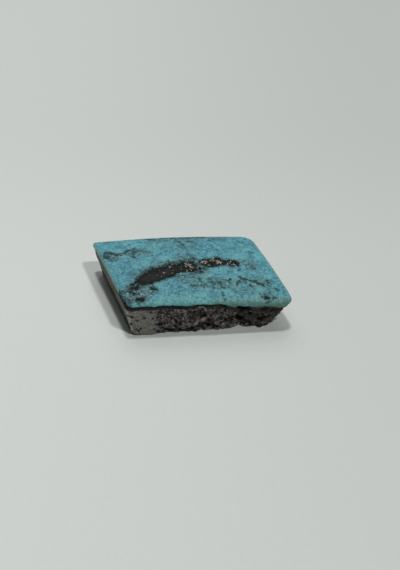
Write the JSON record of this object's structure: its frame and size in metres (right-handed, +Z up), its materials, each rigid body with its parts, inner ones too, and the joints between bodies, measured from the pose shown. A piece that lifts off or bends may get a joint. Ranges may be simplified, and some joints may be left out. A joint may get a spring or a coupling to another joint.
{
  "type": "polished turquoise nugget",
  "caption": "Small slanted slab of turquoise: a low-domed polished blue face with dark matrix bands, over rough grey host rock, sawn flat underneath to lie on a surface.",
  "frame": {"origin": "on the sawn back, under the middle of the stone's outline as seen from above", "axes": "+X along the stone's length towards its undercut right end, +Y towards its back edge, +Z up through the polished face"},
  "size_m": [0.0356, 0.0214, 0.0074],
  "materials": {
    "turquoise": "satin",
    "pyrite": "polished"
  },
  "bodies": {
    "root": {"turquoise_nugget": "turquoise"}
  },
  "joints": []
}
